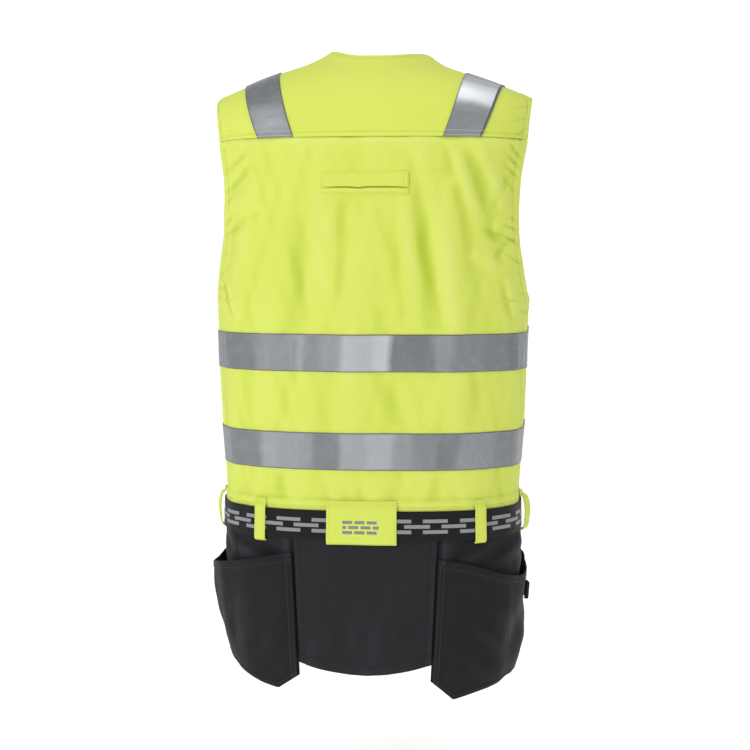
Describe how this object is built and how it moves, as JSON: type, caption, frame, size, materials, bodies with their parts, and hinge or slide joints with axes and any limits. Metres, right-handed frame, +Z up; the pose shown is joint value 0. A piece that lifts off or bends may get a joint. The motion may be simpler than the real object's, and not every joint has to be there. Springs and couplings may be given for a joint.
{
  "type": "utility work vest",
  "caption": "Sleeveless high-visibility work vest with reflective tapes, a webbing belt in loops and dark hanging tool pouches, held in its worn shape.",
  "frame": {"origin": "middle of the shoulders' height on the mid-plane, where the vest rests on its wearer", "axes": "+Z up, +Y the way the wearer faces, +X the wearer's right"},
  "size_m": [0.4562, 0.281, 0.879],
  "materials": {
    "yellow_cloth": "woven twill, fluorescent yellow",
    "reflective_tape": "smooth grey retroreflective tape with a soft sheen",
    "dark_cloth": "coarse woven charcoal canvas",
    "black_webbing": "ribbed black webbing with grey woven bars",
    "black_plastic": "moulded, matte"
  },
  "bodies": {
    "root": {"back_panel": "yellow_cloth", "yoke": "yellow_cloth", "front_panel_left": "yellow_cloth", "front_panel_right": "yellow_cloth", "shoulder_tape_left": "reflective_tape", "shoulder_tape_right": "reflective_tape", "upper_band_back": "reflective_tape", "upper_band_front_left": "reflective_tape", "upper_band_front_right": "reflective_tape", "lower_band_back": "reflective_tape", "lower_band_front_left": "reflective_tape", "lower_band_front_right": "reflective_tape", "slot_patch": "yellow_cloth", "belt_loop_rear_left": "yellow_cloth", "belt_loop_rear_right": "yellow_cloth", "belt_loop_side_left": "yellow_cloth", "belt_loop_side_right": "yellow_cloth", "belt_loop_front_left": "yellow_cloth", "belt_loop_front_right": "yellow_cloth", "belt_tunnel": "yellow_cloth", "belt": "black_webbing", "belt_buckle": "black_plastic", "lower_back_panel": "dark_cloth", "side_panel_left": "dark_cloth", "side_panel_right": "dark_cloth", "pouch_left": "dark_cloth", "pouch_right": "dark_cloth", "side_tab": "dark_cloth", "side_tab_pull": "yellow_cloth", "front_zip": "dark_cloth", "zip_slider": "black_plastic"}
  },
  "joints": []
}
